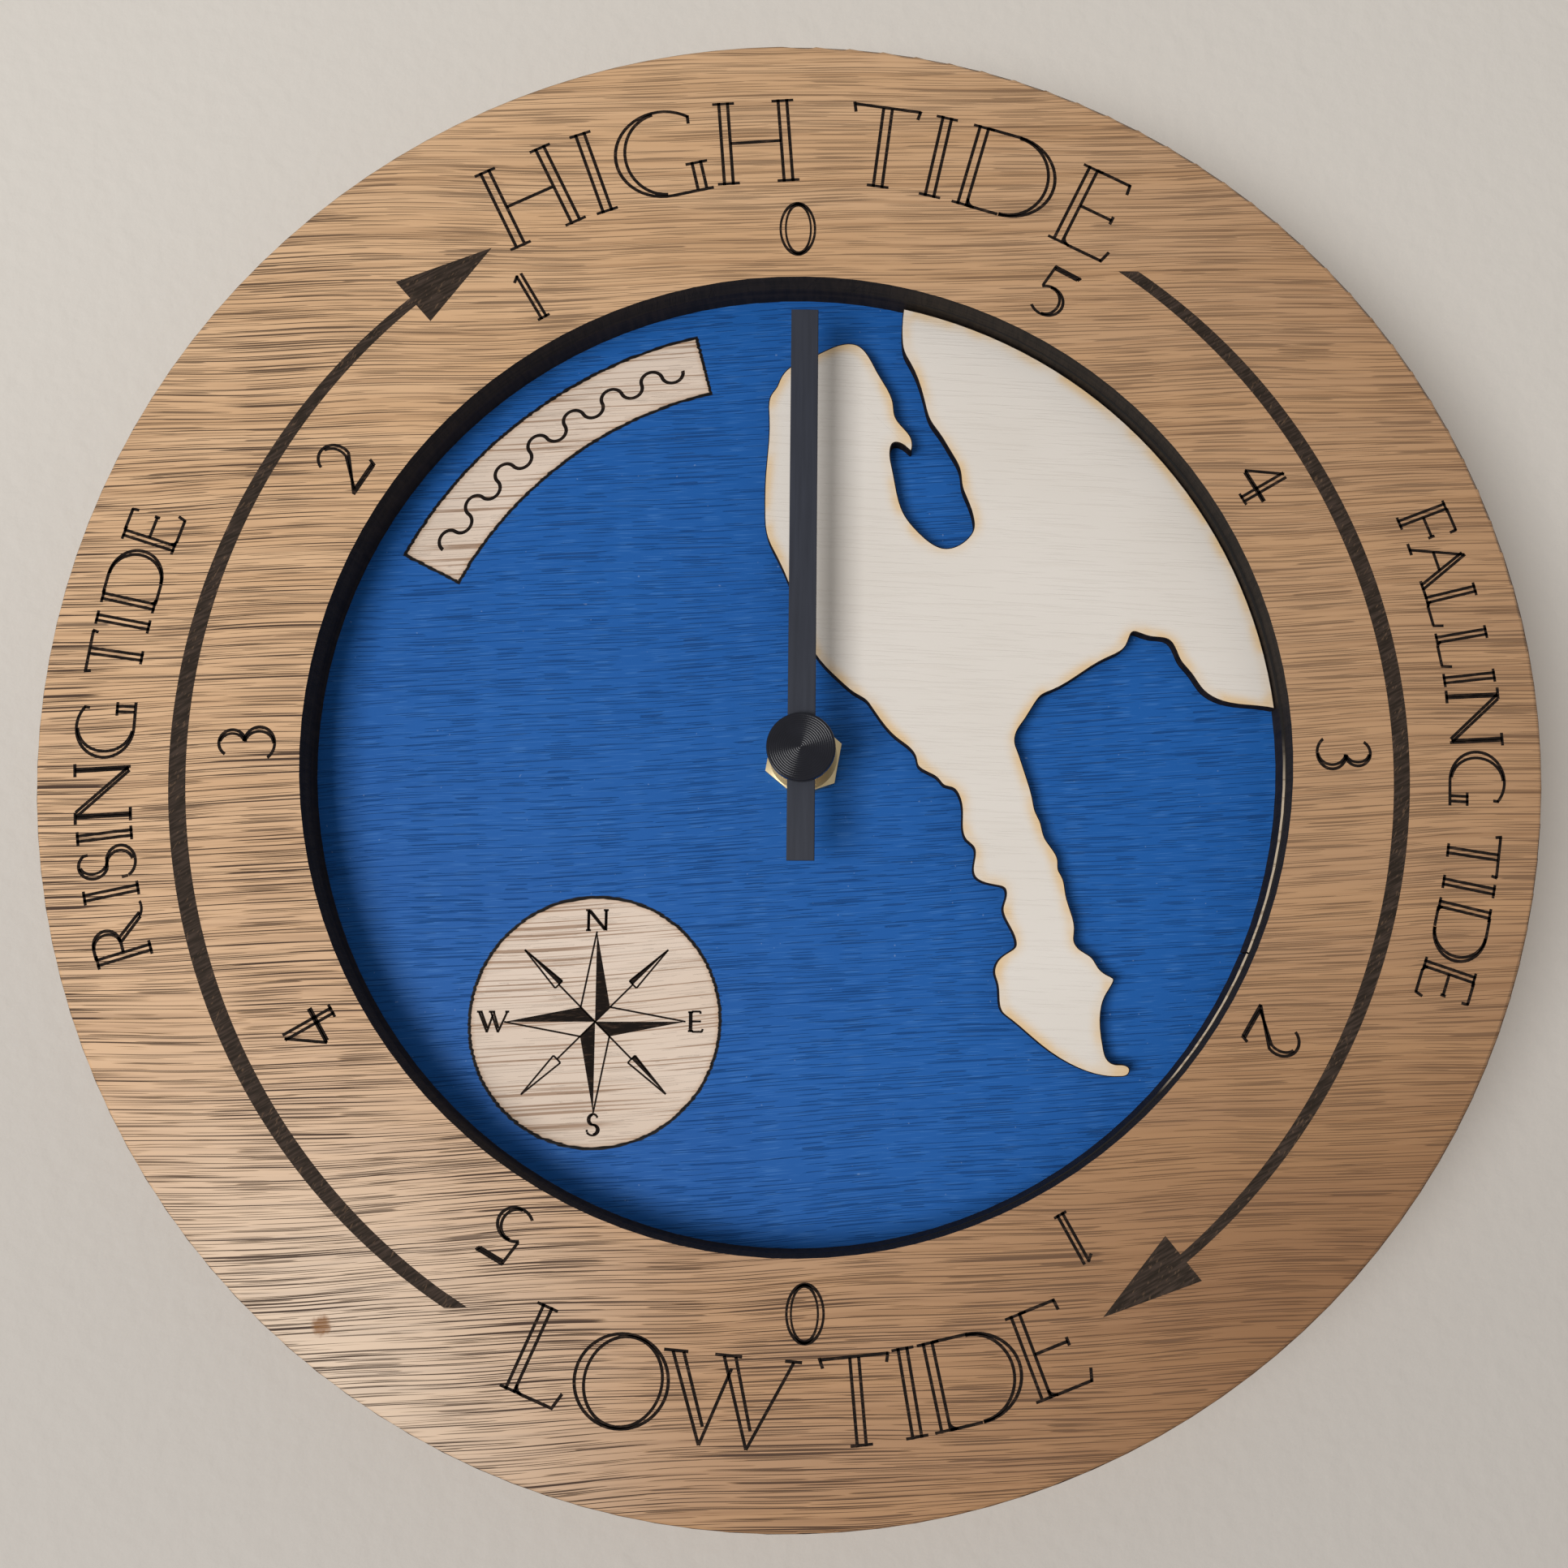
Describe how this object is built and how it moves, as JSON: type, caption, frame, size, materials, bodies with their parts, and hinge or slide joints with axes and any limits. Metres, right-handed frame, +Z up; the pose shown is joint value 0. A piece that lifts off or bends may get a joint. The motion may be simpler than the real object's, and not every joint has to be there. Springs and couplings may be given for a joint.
{
  "type": "tide clock",
  "caption": "Round laminated wooden wall clock with one hand that shows the tide; a quartz movement on the back drives the hand and hangs it on a wall.",
  "frame": {"origin": "on the axis of the hanging eye, in the plane of the wall", "axes": "+Z up, +Y towards the wall, so the dial faces -Y, and +X to the right seen from the front"},
  "size_m": [0.25, 0.0345, 0.25],
  "materials": {
    "ring_veneer": "clear satin over open-pored veneer",
    "spacer_wood": "blackened inner edge",
    "blue_board": "blue satin paint over open-pored veneer",
    "land_ply": "pale, laser cut, darkened edges",
    "case_plastic": "moulded, fine texture",
    "brass": "turned",
    "gasket_rubber": "matte",
    "hand_metal": "black satin coat",
    "cap_plastic": "concentric turned grooves",
    "wheel_plastic": "moulded natural",
    "knob_plastic": "moulded, fluted edge",
    "magnet_metal": "sintered",
    "iron_sheet": "stamped",
    "copper_wire": "enamelled",
    "circuit_resin": "lacquered",
    "plated_steel": "nickel plated",
    "cell_can": "plain wrapped can, pale end"
  },
  "bodies": {
    "clock_body": {"ring_frame": "ring_veneer", "spacer_ring": "spacer_wood", "back_board": "blue_board", "land_overlay": "land_ply", "movement_case": "case_plastic", "movement_cover": "case_plastic", "threaded_bush": "brass", "hex_nut": "brass", "rubber_gasket": "gasket_rubber", "stator": "iron_sheet", "coil_core": "iron_sheet", "coil_bobbin": "wheel_plastic", "coil_winding": "copper_wire", "circuit_board": "circuit_resin", "quartz_crystal": "plated_steel", "battery_cell": "cell_can", "contact_positive": "plated_steel", "contact_negative": "plated_steel"},
    "hand_group": {"tide_hand": "hand_metal", "hand_collet": "brass", "hand_cap": "cap_plastic", "tide_wheel": "wheel_plastic"},
    "setting_group": {"minute_wheel": "wheel_plastic", "set_knob": "knob_plastic"},
    "centre_arbor": {"centre_pinion": "wheel_plastic"},
    "centre_gear": {"centre_wheel": "wheel_plastic"},
    "third_gear": {"third_wheel": "wheel_plastic"},
    "second_gear": {"second_wheel": "wheel_plastic"},
    "step_gear": {"step_wheel": "wheel_plastic"},
    "rotor": {"rotor_pinion": "wheel_plastic", "rotor_magnet": "magnet_metal"}
  },
  "joints": [
    {"name": "hand_turn", "type": "hinge", "parent": "clock_body", "child": "hand_group", "pos_m": [0, -0.03, -0.035], "axis": [0, 1, 0], "continuous": true},
    {"name": "setting_turn", "type": "hinge", "parent": "clock_body", "child": "setting_group", "pos_m": [0.00896, -0.01, -0.035], "axis": [0, 1, 0], "continuous": true},
    {"name": "centre_arbor_turn", "type": "hinge", "parent": "clock_body", "child": "centre_arbor", "pos_m": [0, -0.01, -0.035], "axis": [0, 1, 0], "continuous": true},
    {"name": "rotor_turn", "type": "hinge", "parent": "clock_body", "child": "rotor", "pos_m": [0.00519, -0.01, -0.02168], "axis": [0, 1, 0], "continuous": true},
    {"name": "step_turn", "type": "hinge", "parent": "clock_body", "child": "step_gear", "pos_m": [0, -0.01, -0.02604], "axis": [0, 1, 0], "continuous": true},
    {"name": "second_turn", "type": "hinge", "parent": "clock_body", "child": "second_gear", "pos_m": [0, -0.01, -0.035], "axis": [0, 1, 0], "continuous": true},
    {"name": "third_turn", "type": "hinge", "parent": "clock_body", "child": "third_gear", "pos_m": [-0.00851, -0.01, -0.035], "axis": [0, 1, 0], "continuous": true},
    {"name": "centre_wheel_turn", "type": "hinge", "parent": "clock_body", "child": "centre_gear", "pos_m": [0, -0.01, -0.035], "axis": [0, 1, 0], "continuous": true}
  ],
  "couplings": [
    {"joint": "setting_turn", "follows": "hand_turn", "ratio": -3},
    {"joint": "centre_arbor_turn", "follows": "hand_turn", "ratio": 12},
    {"joint": "step_turn", "follows": "rotor_turn", "ratio": -0.13333},
    {"joint": "second_turn", "follows": "rotor_turn", "ratio": 0.033333},
    {"joint": "third_turn", "follows": "rotor_turn", "ratio": -0.0041667},
    {"joint": "centre_wheel_turn", "follows": "rotor_turn", "ratio": 0.00055556}
  ]
}
